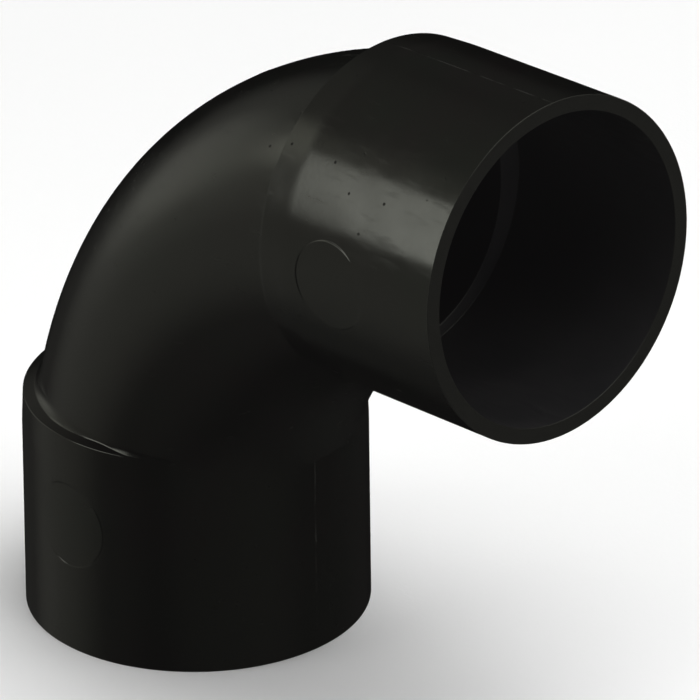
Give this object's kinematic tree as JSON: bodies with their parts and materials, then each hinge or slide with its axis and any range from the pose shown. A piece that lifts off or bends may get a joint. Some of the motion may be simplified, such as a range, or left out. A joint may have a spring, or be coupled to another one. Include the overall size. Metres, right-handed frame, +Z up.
{
  "type": "solvent weld pipe elbow",
  "caption": "Moulded black plastic waste pipe elbow: a swept tube between plain solvent weld sockets, turning the run by 87.5 degrees.",
  "frame": {"origin": "centre of the lower socket's mouth, on the surface the elbow stands on", "axes": "+Z up the lower socket's axis into the fitting, +X the way the upper socket looks (2.5 degrees above level), Y across the plane of symmetry"},
  "size_m": [0.081, 0.0404, 0.0828],
  "materials": {
    "black_plastic": "glossy moulded"
  },
  "bodies": {
    "root": {"elbow": "black_plastic"}
  },
  "joints": []
}
